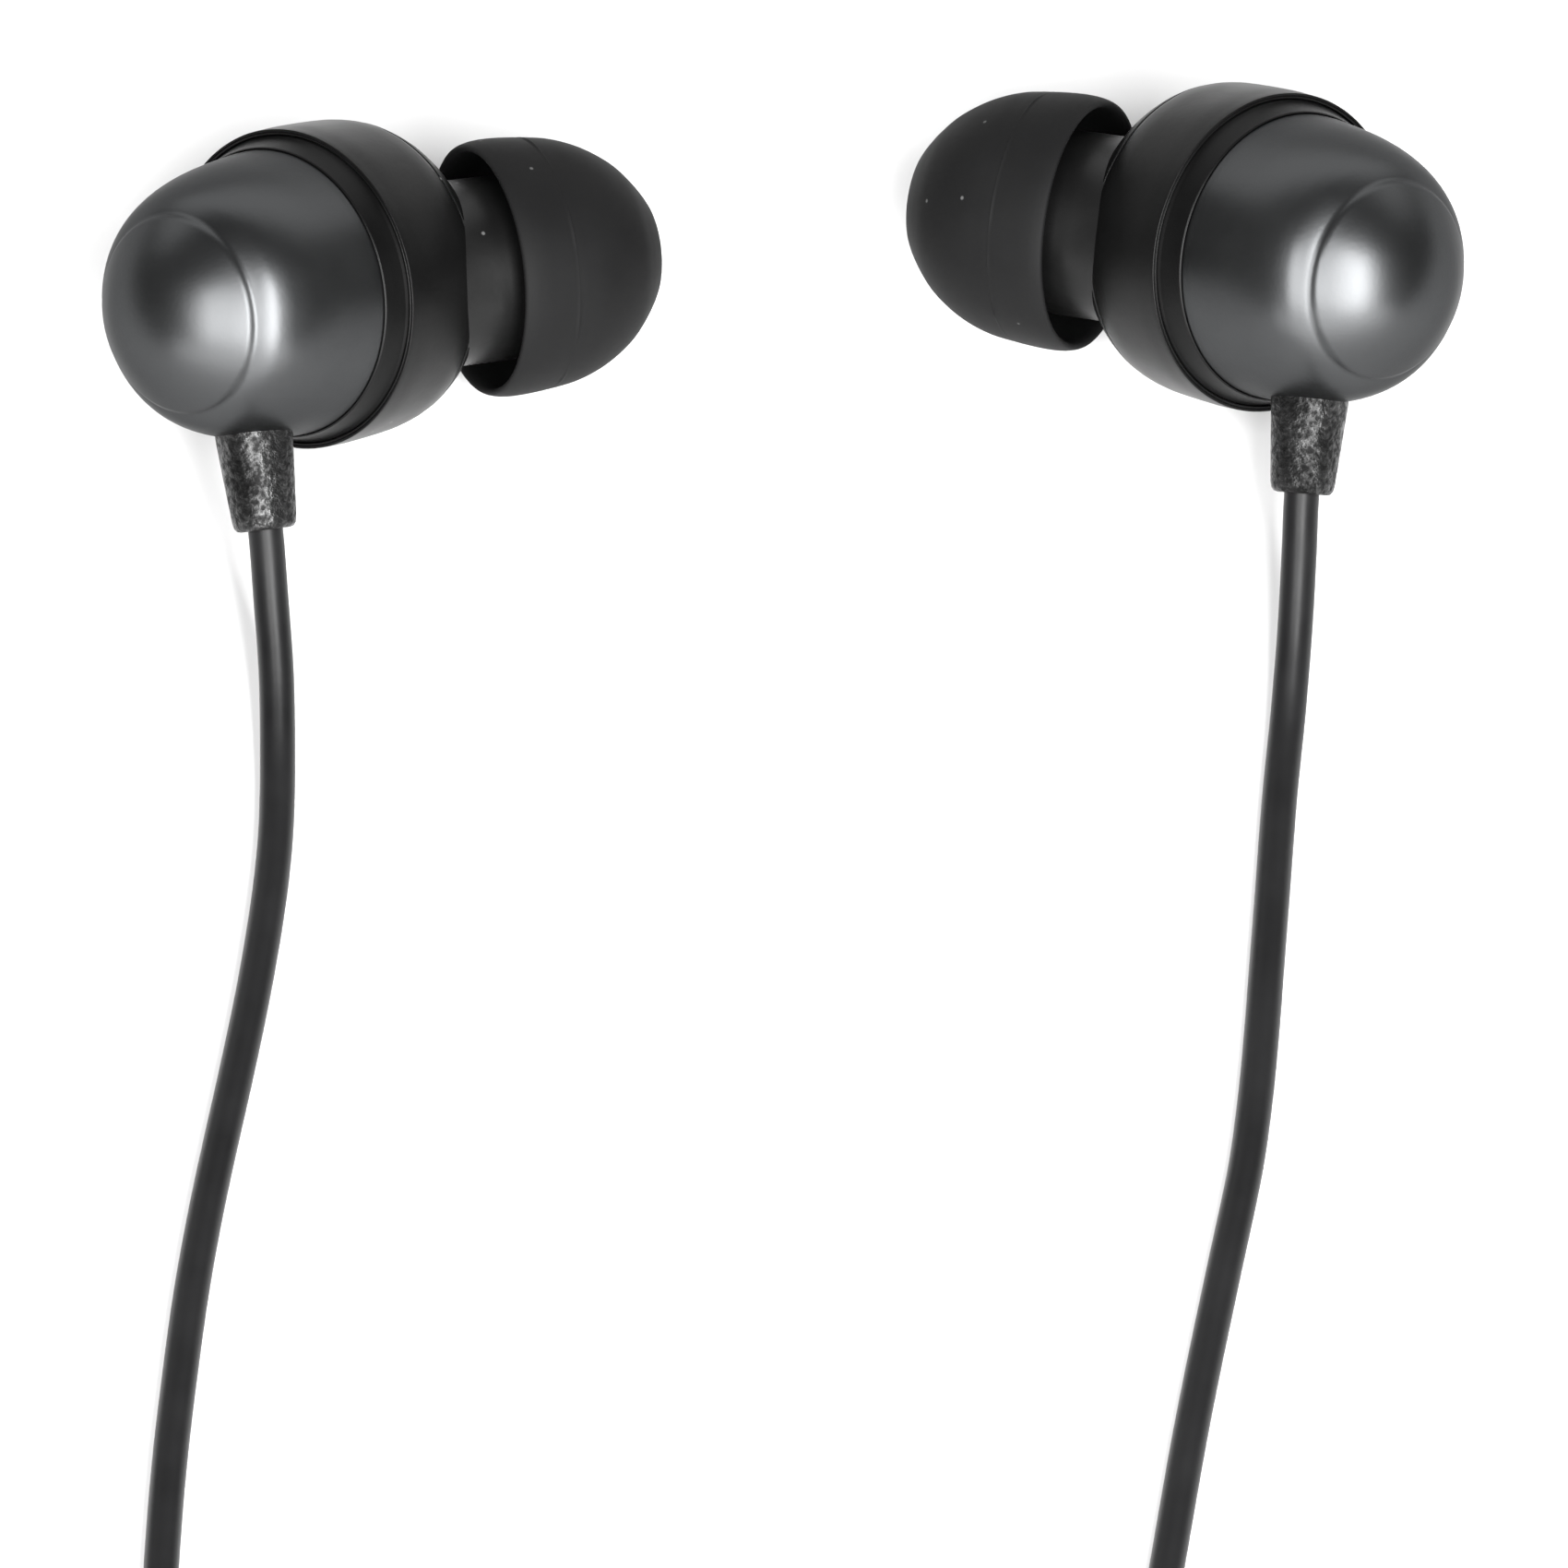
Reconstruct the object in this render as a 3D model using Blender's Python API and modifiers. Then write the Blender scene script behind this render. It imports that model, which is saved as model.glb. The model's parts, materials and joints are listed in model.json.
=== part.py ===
"""Wired in-ear earphones, laid out on a flat surface.

Two mirrored earpieces rest on their ear tips and front housings. Each cord leaves its strain
relief, runs along the surface and is wound into a coil. The two join in a splitter, and the
main cord is wound into a third coil and ends in a 3.5 mm stereo plug.
Every length below is in millimetres and every angle in degrees; MM turns them into metres.
"""
from math import cos, pi, radians, sin

import bmesh
import bpy
from mathutils import Matrix, Quaternion, Vector

MM = 0.001
GAP = 0.05

# Where the earpieces stand
LIP_X = 23.6
LIP_HEIGHT = 9.05
LIP_Y = {"left": 0.21, "right": 2.24}
BODY_AZIMUTH, BODY_DROP = 37.7, 34.6
NOZZLE_AZIMUTH, NOZZLE_DROP = 17.7, 15.6
NOZZLE_OFFSET = {"left": (0.05, -0.463, 0.36), "right": (0.0, -0.175, 0.3)}
RELIEF_AZIMUTH = {"left": -82.0, "right": -85.7}
RELIEF_DROP = 29.9
RELIEF_STATION = {"left": -3.9, "right": -3.4}
RIGHT_ROLL = -1.2
ROLL_AXIS = (0.0, -0.5, 0.866)

# Earpiece, measured from the middle of the front housing's lip
SHELL_R = 6.93
SHELL_WALL_R = 6.2
SHELL_END = -10.72
HOUSING_R = 7.72
HOUSING_FRONT = 7.55
NECK_R = 4.55
NECK_ROOT = 5.45
NECK_END = 11.2
BARB_R = 3.15
SOUND_BORE_R = 2.0
NOZZLE_MOUTH = 15.2
TIP_RIM = 9.63
TIP_RIM_R = 6.0
TIP_R = 6.21
TIP_BORE_R = 3.25
RELIEF_TOP_R = 1.9
RELIEF_END_R = 1.48
RELIEF_END = 11.05
DRIVER_R = 5.8

# Cords: each branch cord starts in its strain relief and then follows the route below
CORD_R = 0.85
MAIN_R = 1.1
SOCKET = 1.6
SMOOTH_STEP = 3.4
CORD_ROUTES = {
    "left": [(-24.56, -13.9, 4.04), (-24.3, -17.1, 2.5), (-24.22, -21.1, 1.23), (-24.3, -25.3, 0.87),
             (-24.7, -29.6, 0.87), (-25.45, -34.7, 0.87), (-26.38, -39.8, 0.87), (-27.34, -44.9, 0.87),
             (-28.15, -50.0, 0.87), (-28.75, -55.1, 0.87), (-29.24, -60.2, 0.87), (-29.6, -66.1, 0.87),
             (-29.76, -72.1, 0.98), (-29.78, -77.1, 1.35)],
    "right": [(24.72, -11.7, 4.06), (24.52, -14.9, 2.52), (24.18, -18.9, 1.23), (23.78, -23.1, 0.87),
              (23.43, -28.1, 0.87), (23.08, -33.1, 0.87), (22.7, -38.2, 0.87), (22.12, -43.3, 0.87),
              (21.18, -48.4, 0.87), (20.22, -53.5, 0.87), (19.32, -58.6, 0.87), (18.22, -65.6, 0.87),
              (17.18, -72.1, 0.98), (16.64, -77.1, 1.35)],
}

# Coils: ring middle, mean radius, spacing of the turns, turns side by side and turns high
TIE = 0.35
TIE_WIDTH = 2.4
TIE_CLEARANCE = 0.2
LIFT = TIE + TIE_CLEARANCE
COILS = {
    "left_cord_coil": {"centre": (-19.9, -84.0), "radius": 9.0, "lane": 1.75, "across": 2, "high": 3,
                       "cord": CORD_R, "tie_angle": 20},
    "right_cord_coil": {"centre": (6.75, -84.0), "radius": 9.0, "lane": 1.75, "across": 2, "high": 3,
                        "cord": CORD_R, "tie_angle": 160},
    "main_cord_coil": {"centre": (8.675, -132.0), "radius": 13.0, "lane": 2.25, "across": 3, "high": 4,
                       "cord": MAIN_R, "tie_angle": 110},
}

# Splitter, and the runs between it and the coils, measured from the middle of its top end
SPLITTER_X, SPLITTER_TOP = -6.575, -102.0
SPLITTER_SIZE = (7.4, 13.0, 3.4)
SPLITTER_PITCH = 1.6
BRANCH_RUN = [(-6.6, 8.1, 3.3), (-3.9, 7.5, 2.5), (-2.2, 5.3, 1.85), (-1.68, 2.8, 1.7), (-1.6, 0.0, 1.7),
              (-1.6, -1.55, 1.7)]
MAIN_RUN = [(0.0, -11.45, 1.7), (0.0, -14.5, 1.6), (0.0, -17.6, 1.55), (0.0, -20.7, 1.55)]

# Plug: its axis runs along +Y, measured from its shoulder
PLUG_X, PLUG_SHOULDER, PLUG_HEIGHT = 23.925, -92.0, 3.32
PLUG_PIN_R = 1.75
PLUG_GRIP = -16.0
PLUG_GRIP_R = 3.3
PLUG_FLEX_END = -26.0
PLUG_RUN = [(0.0, -30.8, 4.9), (0.0, -28.4, 3.87), (0.0, -26.0, 3.36), (0.0, -24.45, 3.32)]

OUTER_SIDES = 24
INNER_SIDES = 16
COIL_SIDES = 36

COLLECTION = "wired_earphones"


def new_material(name, colour, roughness, metallic=0.0):
    material = bpy.data.materials.new(name)
    material.use_nodes = True
    shader = material.node_tree.nodes["Principled BSDF"]
    shader.inputs["Base Color"].default_value = (*colour, 1.0)
    shader.inputs["Roughness"].default_value = roughness
    shader.inputs["Metallic"].default_value = metallic
    material.diffuse_color = (*colour, 1.0)
    return material


def clear_scene():
    for obj in list(bpy.data.objects):
        bpy.data.objects.remove(obj)


def add_object(name, mesh, material, parent=None):
    obj = bpy.data.objects.new(name, mesh)
    parts.objects.link(obj)
    obj.parent = parent
    obj.data.materials.append(material)
    return obj


def bake(obj):
    """Turn an object with modifiers into its plain evaluated mesh, shaded smooth."""
    graph = bpy.context.evaluated_depsgraph_get()
    mesh = bpy.data.meshes.new_from_object(obj.evaluated_get(graph))
    obj.modifiers.clear()
    obj.data = mesh
    mesh.shade_smooth()
    mesh.set_sharp_from_angle(angle=radians(32))
    return obj


def turned(name, profile, material, parent=None, sides=INNER_SIDES):
    """A turned piece about its own Z: (radius, height) points, top to bottom down the outside.

    A profile that starts off the axis is a ring and is closed back to its first point.
    """
    mesh = bpy.data.meshes.new(name)
    points = [(radius * MM, 0, height * MM) for radius, height in profile]
    edges = [(i, i + 1) for i in range(len(points) - 1)]
    if profile[0][0] > 0:
        edges.append((len(points) - 1, 0))
    mesh.from_pydata(points, edges, [])
    obj = add_object(name, mesh, material, parent)
    screw = obj.modifiers.new("turn", "SCREW")
    screw.steps = screw.render_steps = sides
    screw.use_merge_vertices = True
    screw.merge_threshold = 0.000005
    return bake(obj)


def boolean(obj, other, operation="DIFFERENCE"):
    """Cut or join with another object, which is used up."""
    bpy.context.view_layer.update()
    modifier = obj.modifiers.new(operation.lower(), "BOOLEAN")
    modifier.operation = operation
    modifier.object = other
    modifier.solver = "EXACT"
    bake(obj)
    bpy.data.objects.remove(other)
    return obj


def cutter(profile, parent, sides=INNER_SIDES):
    return turned("cutter", profile, materials["black"], parent, sides)


def box(name, size, centre, material, parent=None):
    mesh = bpy.data.meshes.new(name)
    shape = bmesh.new()
    bmesh.ops.create_cube(shape, size=1.0)
    bmesh.ops.scale(shape, vec=Vector(size) * MM, verts=shape.verts)
    bmesh.ops.translate(shape, vec=Vector(centre) * MM, verts=shape.verts)
    shape.to_mesh(mesh)
    shape.free()
    return add_object(name, mesh, material, parent)


def smooth_route(points, step):
    """Points a step apart or less on one smooth curve through the given points."""
    route = [Vector(p) for p in points]
    ends = [2 * route[0] - route[1], *route, 2 * route[-1] - route[-2]]
    result = [route[0]]
    for before, start, end, after in zip(ends, ends[1:], ends[2:], ends[3:]):
        count = max(1, round((end - start).length / step))
        for i in range(1, count + 1):
            t = i / count
            result.append(0.5 * (2 * start + (end - before) * t
                                 + (2 * before - 5 * start + 4 * end - after) * t ** 2
                                 + (3 * start - before - 3 * end + after) * t ** 3))
    return result


def tube(name, points, radius, material, step=SMOOTH_STEP, parent=None):
    curve = bpy.data.curves.new(name, "CURVE")
    curve.dimensions = "3D"
    curve.bevel_depth = radius * MM
    curve.bevel_resolution = 2
    curve.use_fill_caps = True
    route = smooth_route(points, step)
    spline = curve.splines.new("POLY")
    spline.points.add(len(route) - 1)
    for place, point in zip(spline.points, route):
        place.co = (*(point * MM), 1.0)
    curve.materials.append(material)
    obj = bpy.data.objects.new(name, curve)
    parts.objects.link(obj)
    obj.parent = parent
    return obj


def direction(azimuth, drop, side):
    """A unit vector; the right earpiece is mirrored across X and lies rolled a little further."""
    level = cos(radians(drop))
    axis = Vector((level * cos(radians(azimuth)), level * sin(radians(azimuth)), -sin(radians(drop))))
    if side == "right":
        axis.x = -axis.x
        axis.rotate(Quaternion(ROLL_AXIS, radians(RIGHT_ROLL)))
    return axis


def axis_empty(name, origin, axis, towards):
    """An empty whose Z is the axis and whose X leans towards the given direction."""
    across = (towards - axis * towards.dot(axis)).normalized()
    frame = Matrix((across, axis.cross(across), axis)).transposed().to_4x4()
    frame.translation = origin * MM
    empty = bpy.data.objects.new(name, None)
    empty.empty_display_size = 0.004
    parts.objects.link(empty)
    empty.matrix_world = frame
    return empty


def shell_outline(grow=0.0):
    """The rear shell's outside, mouth to end: a slow taper, a shoulder, a crease, an end dome."""
    outline = [(6.93, 0.4), (6.92, -1.4), (6.77, -3.14), (6.66, -4.11), (6.5, -5.08), (6.24, -6.04),
               (5.88, -6.98), (5.44, -7.82), (4.9, -8.27), (4.5, -8.8), (3.5, -9.65), (1.9, -10.4)]
    return [(radius + grow, height) for radius, height in outline] + [(0, SHELL_END - grow)]


def dome_outline():
    """The front housing's outside, front to lip."""
    return [(0, HOUSING_FRONT), (4.6, 7.4), (5.5, 7.1), (6.3, 6.55), (6.95, 5.85), (7.4, 5.05), (7.6, 4.0),
            (7.7, 2.6), (HOUSING_R + 0.04, 1.2), (HOUSING_R, 0.15), (HOUSING_R - 0.12, 0)]


def tip_outline():
    """The ear tip's outside, sound outlet to skirt rim."""
    dome = [(2.3, 8.45), (2.85, 8.45), (3.7, 7.78), (4.5, 6.98), (5.13, 6.1), (5.58, 5.2), (5.9, 4.2),
            (6.08, 3.1), (6.17, 2.0), (TIP_R, 1.0), (6.13, 0.35), (TIP_RIM_R, 0)]
    return [(radius, TIP_RIM + height) for radius, height in dome]


def make_shells(side, body):
    inside = [(0, -9.95), (2.0, -9.7), (3.3, -9.05), (4.15, -8.2), (5.0, -7.2), (5.5, -6.2), (5.85, -5.0),
              (6.1, -3.3), (SHELL_WALL_R, -1.2), (SHELL_WALL_R, 0.4)]
    shell = turned(f"{side}_rear_shell", inside + shell_outline(), materials["metal"], body, OUTER_SIDES)
    bezel = [(7.42, 0.45), (7.42, -0.02), (7.28, -0.16), (7.02, -1.15), (SHELL_R + GAP, -1.2),
             (SHELL_R + GAP, 0.45)]
    turned(f"{side}_bezel_ring", bezel, materials["black"], body, OUTER_SIDES)
    foam = [(0, -7.3), (3.9, -7.3), (3.9, -8.2), (0, -8.2)]
    turned(f"{side}_damping_foam", foam, materials["foam"], body)
    return shell


def make_housing(side, body, nozzle):
    inside = [(7.46, 0), (7.46, 0.5), (6.0, 0.5), (6.0, 2.0), (4.8, 2.0), (4.8, 2.8), (0, 2.8)]
    housing = turned(f"{side}_front_housing", dome_outline() + inside, materials["black"], body, OUTER_SIDES)
    socket = [(0, 12), (NECK_R + GAP, 12), (NECK_R + GAP, NECK_ROOT - GAP), (2.2, NECK_ROOT - GAP),
              (2.2, 2.3), (0, 2.3)]
    boolean(housing, cutter(socket, nozzle, OUTER_SIDES))


def make_nozzle(side, nozzle):
    mouth = NOZZLE_MOUTH
    profile = [(2.75, mouth), (BARB_R, mouth - 0.6), (BARB_R, mouth - 1.0), (2.95, mouth - 1.25),
               (2.95, NECK_END), (4.2, NECK_END), (4.5, NECK_END - 0.3), (4.5, 8.0), (NECK_R, NECK_ROOT),
               (SOUND_BORE_R, NECK_ROOT), (SOUND_BORE_R, mouth - 0.35), (2.5, mouth - 0.35), (2.5, mouth)]
    turned(f"{side}_nozzle", profile, materials["black"], nozzle, OUTER_SIDES)
    mesh_disc = [(0, mouth - 0.1), (2.44, mouth - 0.1), (2.44, mouth - 0.3), (0, mouth - 0.3)]
    turned(f"{side}_nozzle_mesh", mesh_disc, materials["steel"], nozzle)


def make_tip(side, nozzle):
    skirt = [(5.6, 0), (5.7, 0.9), (5.66, 2.2), (5.35, 3.9), (4.95, 5.0), (4.5, 5.5), (4.2, 5.3),
             (4.15, 1.8), (4.0, 1.65), (TIP_BORE_R, 1.65), (TIP_BORE_R, 5.75), (2.3, 6.1)]
    inside = [(radius, TIP_RIM + height) for radius, height in skirt]
    turned(f"{side}_eartip", tip_outline() + inside, materials["silicone"], nozzle, OUTER_SIDES)


def make_relief(side, body, relief, shell):
    """A tapered rubber grommet: it grips the shell through a hole and holds the cord."""
    boolean(shell, cutter([(0, 8.5), (1.4, 8.5), (1.4, 4.0), (0, 4.0)], relief))
    outside = [(0, RELIEF_END), (RELIEF_END_R - 0.3, RELIEF_END), (RELIEF_END_R, RELIEF_END - 0.35),
               (RELIEF_TOP_R, 5.4), (0, 5.4)]
    grommet = turned(f"{side}_strain_relief", outside, materials["rubber"], relief)
    boolean(grommet, cutter([(0, 3.0), *shell_outline(GAP)], body, OUTER_SIDES))
    stem = [(0, 8.0), (1.3, 8.0), (1.3, 5.3), (2.0, 5.3), (2.0, 4.75), (0, 4.75)]
    boolean(grommet, cutter(stem, relief), "UNION")
    bore = [(0, 12), (CORD_R + GAP, 12), (CORD_R + GAP, RELIEF_END - SOCKET - GAP),
            (0.62, RELIEF_END - SOCKET - GAP), (0.62, 4), (0, 4)]
    boolean(grommet, cutter(bore, relief, 12))
    knot = [(0, RELIEF_END - SOCKET - 2 * GAP), (0.55, RELIEF_END - SOCKET - 2 * GAP), (0.55, 4.5),
            (0.95, 4.25), (1.2, 3.7), (1.2, 3.1), (0.85, 2.5), (0, 2.3)]
    turned(f"{side}_cord_knot", knot, materials["cable"], relief, 12)


def make_driver(side, body):
    """A 10 mm class moving-coil driver, its face towards the nozzle."""
    pieces = {
        "driver_frame": ("black", [(DRIVER_R, 1.75), (DRIVER_R, -0.9), (3.55, -0.9), (3.55, -0.6),
                                   (5.3, -0.6), (5.3, 1.75)]),
        "driver_yoke": ("steel", [(0, -0.9), (2.95, -0.9), (2.95, 0.9), (3.45, 0.9), (3.45, -1.4),
                                  (0, -1.4)]),
        "driver_magnet": ("steel", [(0, 0.35), (2.3, 0.35), (2.3, -0.85), (0, -0.85)]),
        "pole_plate": ("steel", [(0, 0.85), (2.35, 0.85), (2.35, 0.4), (0, 0.4)]),
        "voice_coil": ("copper", [(2.8, 1.02), (2.8, 0.0), (2.5, 0.0), (2.5, 1.02)]),
        "diaphragm": ("film", [(0, 1.6), (1.7, 1.48), (2.75, 1.22), (3.9, 1.42), (5.2, 1.2), (5.2, 1.08),
                               (3.9, 1.3), (2.75, 1.08), (1.7, 1.36), (0, 1.48)]),
        "driver_seal": ("foam", [(6.14, 0.35), (6.14, -0.8), (5.86, -0.8), (5.86, 0.35)]),
    }
    for name, (material, profile) in pieces.items():
        turned(f"{side}_{name}", profile, materials[material], body)
    cover = turned(f"{side}_driver_cover", [(0, 1.95), (5.75, 1.95), (5.75, 1.82), (0, 1.82)],
                   materials["steel"], body)
    hole = [(0, 2.5), (0.7, 2.5), (0.7, 1.0), (0, 1.0)]
    for i in range(4):
        drill = cutter(hole, body, 8)
        drill.location = Matrix.Rotation((i + 0.45) * pi / 2, 3, "Z") @ Vector((3.4 * MM, 0, 0))
        boolean(cover, drill)
    box(f"{side}_terminal_board", (2.0, 3.2, 0.3), (4.75, 0, -1.1), materials["board"], body)
    leads = [(3.3, 0, -2.5), (3.7, 0, -2.2), (4.4, 0, -1.8), (4.75, 0, -1.32)]
    tube(f"{side}_lead_wires", leads, 0.22, materials["copper"], 0.5, body)


def make_earpiece(side):
    x = -LIP_X if side == "left" else LIP_X
    lip = Vector((x, LIP_Y[side], LIP_HEIGHT))
    body_axis = direction(BODY_AZIMUTH, BODY_DROP, side)
    nozzle_axis = direction(NOZZLE_AZIMUTH, NOZZLE_DROP, side)
    relief_axis = direction(RELIEF_AZIMUTH[side], RELIEF_DROP, side)
    body = axis_empty(f"{side}_housing_axis", lip, body_axis, relief_axis)
    nozzle = axis_empty(f"{side}_nozzle_axis", lip + Vector(NOZZLE_OFFSET[side]), nozzle_axis, relief_axis)
    relief_origin = lip + RELIEF_STATION[side] * body_axis
    relief = axis_empty(f"{side}_relief_axis", relief_origin, relief_axis, body_axis)
    shell = make_shells(side, body)
    make_housing(side, body, nozzle)
    make_nozzle(side, nozzle)
    make_tip(side, nozzle)
    make_relief(side, body, relief, shell)
    make_driver(side, body)
    start = [relief_origin + reach * relief_axis for reach in (RELIEF_END - SOCKET, RELIEF_END)]
    route = start + [Vector(point) for point in CORD_ROUTES[side]]
    tube(f"{side}_cord", route, CORD_R, materials["cable"])


def ring_size(coil):
    """How wide and how high a coil's bundle of turns is."""
    return [(count - 1) * coil["lane"] + 2 * coil["cord"] + 0.06 for count in (coil["across"], coil["high"])]


def make_coil(name, coil):
    """The outer shape of a wound coil, lifted off the surface by the tie around it."""
    width, height = ring_size(coil)
    middle = Vector((*coil["centre"], LIFT + height / 2))
    place = axis_empty(f"{name}_middle", middle, Vector((0, 0, 1)), Vector((1, 0, 0)))
    corner = 0.5 * coil["cord"]
    right, top = coil["radius"] + width / 2, height / 2
    left = coil["radius"] - width / 2
    ring = [(right - corner, top), (right, top - corner), (right, corner - top), (right - corner, -top),
            (left + corner, -top), (left, corner - top), (left, top - corner), (left + corner, top)]
    turned(name, ring, materials["cable"], place, COIL_SIDES)
    tie = box(name.replace("cord_coil", "coil_tie"), (width + 2 * LIFT, TIE_WIDTH, height + 2 * LIFT),
              (coil["radius"], 0, 0), materials["tie"], place)
    hole = box("cutter", (width + 2 * TIE_CLEARANCE, 2 * TIE_WIDTH, height + 2 * TIE_CLEARANCE),
               (coil["radius"], 0, 0), materials["tie"], place)
    boolean(tie, hole)
    tie.rotation_euler.z = radians(coil["tie_angle"])


def make_splitter():
    """The moulded joint of the two branch cords and the main cord, flat on the surface."""
    width, length, height = SPLITTER_SIZE
    place = axis_empty("splitter_top", Vector((SPLITTER_X, SPLITTER_TOP, height / 2)), Vector((0, 1, 0)),
                       Vector((1, 0, 0)))
    body = box("y_splitter", (width, height, length), (0, 0, -length / 2), materials["black"], place)
    bevel = body.modifiers.new("round", "BEVEL")
    bevel.width = 0.9 * MM
    bevel.segments = 2
    bake(body)
    hole = [(0, 1), (CORD_R + GAP, 1), (CORD_R + GAP, -SOCKET), (0, -SOCKET)]
    for offset in (-SPLITTER_PITCH, SPLITTER_PITCH):
        drill = cutter(hole, place, 12)
        drill.location.x = offset * MM
        boolean(body, drill)
    outlet = [(0, SOCKET - length), (MAIN_R + GAP, SOCKET - length), (MAIN_R + GAP, -length - 1),
              (0, -length - 1)]
    boolean(body, cutter(outlet, place, 12))
    origin = Vector((SPLITTER_X, SPLITTER_TOP, 0))
    for side, flip in (("left", 1), ("right", -1)):
        run = [origin + Vector((flip * x, y, z)) for x, y, z in BRANCH_RUN]
        tube(f"{side}_cord_run", run, CORD_R, materials["cable"], 1.8)
    tube("main_cord_run", [origin + Vector(point) for point in MAIN_RUN], MAIN_R, materials["cable"])


def make_plug():
    """A 3.5 mm stereo plug: tip, ring and sleeve contacts, two insulators, grip and flex relief."""
    shoulder = Vector((PLUG_X, PLUG_SHOULDER, PLUG_HEIGHT))
    place = axis_empty("plug_shoulder", shoulder, Vector((0, 1, 0)), Vector((1, 0, 0)))
    grip = [(0, -5), (PLUG_PIN_R + GAP, -5), (PLUG_PIN_R + GAP, 0), (PLUG_GRIP_R - 0.4, 0),
            (PLUG_GRIP_R, -0.5), (PLUG_GRIP_R, -12), (2.9, -15.6), (2.5, PLUG_GRIP), (0, PLUG_GRIP)]
    turned("plug_grip", grip, materials["black"], place, OUTER_SIDES)
    flex_top = PLUG_GRIP - GAP
    socket = PLUG_FLEX_END + SOCKET
    flex = [(0, flex_top), (2.2, flex_top), (1.6, PLUG_FLEX_END + 0.4), (1.45, PLUG_FLEX_END),
            (MAIN_R + GAP, PLUG_FLEX_END), (MAIN_R + GAP, socket), (0, socket)]
    turned("plug_flex_relief", flex, materials["rubber"], place)
    pin, insulator, core = PLUG_PIN_R, PLUG_PIN_R - 0.05, 0.45
    contacts = {
        "plug_sleeve": ("gold", [(pin, 7.6), (pin, -4.9), (0.6, -4.9), (0.6, 7.6)]),
        "plug_rear_insulator": ("black", [(insulator, 8.4), (insulator, 7.65), (0.5, 7.65), (0.5, 8.4)]),
        "plug_ring": ("gold", [(pin, 9.9), (pin, 8.45), (0.5, 8.45), (0.5, 9.9)]),
        "plug_front_insulator": ("black", [(insulator, 10.7), (insulator, 9.95), (0.5, 9.95), (0.5, 10.7)]),
        "plug_tip": ("gold", [(0, 14), (0.6, 13.8), (1.2, 13.2), (1.68, 12.3), (1.7, 12.0), (1.3, 11.5),
                              (1.3, 11.0), (1.6, 10.75), (core, 10.75), (core, -4.8), (0, -4.8)]),
    }
    for name, (material, profile) in contacts.items():
        turned(name, profile, materials[material], place)
    run = [Vector((PLUG_X + x, PLUG_SHOULDER + y, z)) for x, y, z in PLUG_RUN]
    tube("main_cord_end", run, MAIN_R, materials["cable"], 2.0)


materials = {}
parts = bpy.data.collections.new(COLLECTION)


def main():
    clear_scene()
    bpy.context.scene.collection.children.link(parts)
    materials.update(
        metal=new_material("gunmetal", (0.09, 0.1, 0.105), 0.3, 1.0),
        black=new_material("black_plastic", (0.012, 0.012, 0.013), 0.4),
        silicone=new_material("black_silicone", (0.012, 0.012, 0.013), 0.55),
        rubber=new_material("black_rubber", (0.02, 0.02, 0.021), 0.6),
        cable=new_material("cord_jacket", (0.014, 0.014, 0.015), 0.45),
        steel=new_material("steel", (0.5, 0.5, 0.5), 0.35, 1.0),
        copper=new_material("copper_wire", (0.6, 0.25, 0.12), 0.35, 1.0),
        film=new_material("diaphragm_film", (0.6, 0.62, 0.6), 0.3),
        foam=new_material("foam", (0.05, 0.05, 0.05), 0.95),
        board=new_material("circuit_board", (0.02, 0.12, 0.05), 0.5),
        gold=new_material("gold_plate", (0.75, 0.52, 0.18), 0.25, 1.0),
        tie=new_material("cord_tie", (0.02, 0.02, 0.02), 0.5),
    )
    for side in ("left", "right"):
        make_earpiece(side)
    for name, coil in COILS.items():
        make_coil(name, coil)
    make_splitter()
    make_plug()


main()
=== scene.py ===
"""Looks of the wired earphones: camera, cords, fine turned pieces, materials and light.

Lengths and places are in millimetres unless a comment says otherwise; MM turns them into metres.
The places of the earpieces come from the frame: the driver magnets and the axes of the joints.
"""
import json
from math import cos, pi, radians, sin, sqrt, tan

import bmesh
import bpy
from mathutils import Matrix, Quaternion, Vector, noise as solid_noise


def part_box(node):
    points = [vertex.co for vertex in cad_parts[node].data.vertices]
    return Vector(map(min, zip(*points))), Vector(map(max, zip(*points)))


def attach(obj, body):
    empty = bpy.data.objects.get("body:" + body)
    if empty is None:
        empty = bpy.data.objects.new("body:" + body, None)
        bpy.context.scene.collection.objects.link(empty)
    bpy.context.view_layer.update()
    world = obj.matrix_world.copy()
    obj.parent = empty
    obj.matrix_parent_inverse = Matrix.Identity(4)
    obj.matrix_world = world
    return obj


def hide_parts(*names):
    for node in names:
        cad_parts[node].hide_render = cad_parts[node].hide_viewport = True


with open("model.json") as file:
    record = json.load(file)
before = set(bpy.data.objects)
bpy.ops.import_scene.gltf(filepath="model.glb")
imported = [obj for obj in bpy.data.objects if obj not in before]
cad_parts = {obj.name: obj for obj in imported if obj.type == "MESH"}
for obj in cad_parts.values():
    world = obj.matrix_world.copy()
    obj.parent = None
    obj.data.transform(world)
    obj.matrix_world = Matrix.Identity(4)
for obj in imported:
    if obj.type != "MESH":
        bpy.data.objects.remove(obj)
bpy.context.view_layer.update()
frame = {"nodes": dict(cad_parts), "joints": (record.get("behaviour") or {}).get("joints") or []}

MM = 0.001
scene = bpy.context.scene
nodes = frame["nodes"]
SIDES = ("left", "right")
joint_axis = {joint["name"]: Vector(joint["axis"]).normalized() for joint in frame["joints"]}
root = bpy.data.collections.new("looks")
scene.collection.children.link(root)
solid_noise.seed_set(5)


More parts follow.
